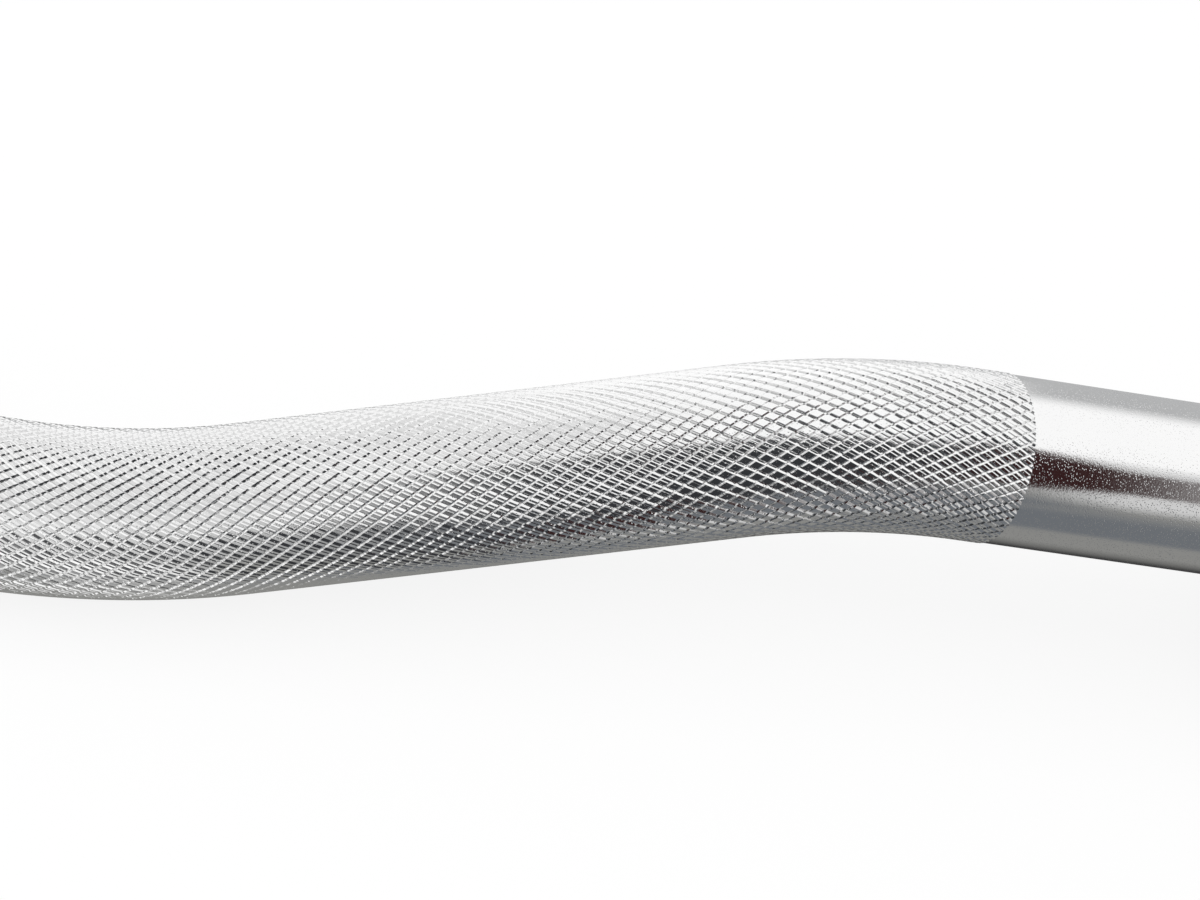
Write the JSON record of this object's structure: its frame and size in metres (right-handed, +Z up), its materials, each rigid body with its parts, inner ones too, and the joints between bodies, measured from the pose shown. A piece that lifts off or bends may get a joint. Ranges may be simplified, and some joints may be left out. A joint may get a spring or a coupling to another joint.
{
  "type": "ez curl bar",
  "caption": "Bent chrome curl bar: a wavy shaft with diamond-knurled grips, and plate sleeves that turn on bushes behind stop collars.",
  "frame": {"origin": "on the sleeve axis, halfway between the sleeves; the centre of the bounding box", "axes": "+X along the sleeve axis towards the right sleeve, +Z up as the bar lies on a floor, -Y to the side that the bends' valleys point to"},
  "size_m": [1.2, 0.08, 0.08],
  "materials": {
    "bar_chrome": "bright chrome over a turned and knurled bar, slightly pebbled",
    "sleeve_chrome": "bright chrome over turned steel",
    "bush_bronze": "turned bearing bronze",
    "seal_rubber": "matt black rubber",
    "washer_steel": "ground steel",
    "spring_steel": "dark phosphated spring steel",
    "cap_steel": "turned steel with fine rings"
  },
  "bodies": {
    "shaft": {"shaft": "bar_chrome", "left_inner_thrust_washer": "washer_steel", "left_outer_thrust_washer": "washer_steel", "left_retaining_ring": "spring_steel", "right_inner_thrust_washer": "washer_steel", "right_outer_thrust_washer": "washer_steel", "right_retaining_ring": "spring_steel"},
    "left_sleeve": {"left_sleeve_tube": "sleeve_chrome", "left_collar": "sleeve_chrome", "left_dust_seal": "seal_rubber", "left_inner_bushing": "bush_bronze", "left_outer_bushing": "bush_bronze", "left_end_cap": "cap_steel", "left_end_cap_ring": "spring_steel"},
    "right_sleeve": {"right_sleeve_tube": "sleeve_chrome", "right_collar": "sleeve_chrome", "right_dust_seal": "seal_rubber", "right_inner_bushing": "bush_bronze", "right_outer_bushing": "bush_bronze", "right_end_cap": "cap_steel", "right_end_cap_ring": "spring_steel"}
  },
  "joints": [
    {"name": "left_sleeve_spin", "type": "hinge", "parent": "shaft", "child": "left_sleeve", "pos_m": [-0.515, 0, 0], "axis": [1, 0, 0], "continuous": true},
    {"name": "right_sleeve_spin", "type": "hinge", "parent": "shaft", "child": "right_sleeve", "pos_m": [0.515, 0, 0], "axis": [1, 0, 0], "continuous": true}
  ]
}
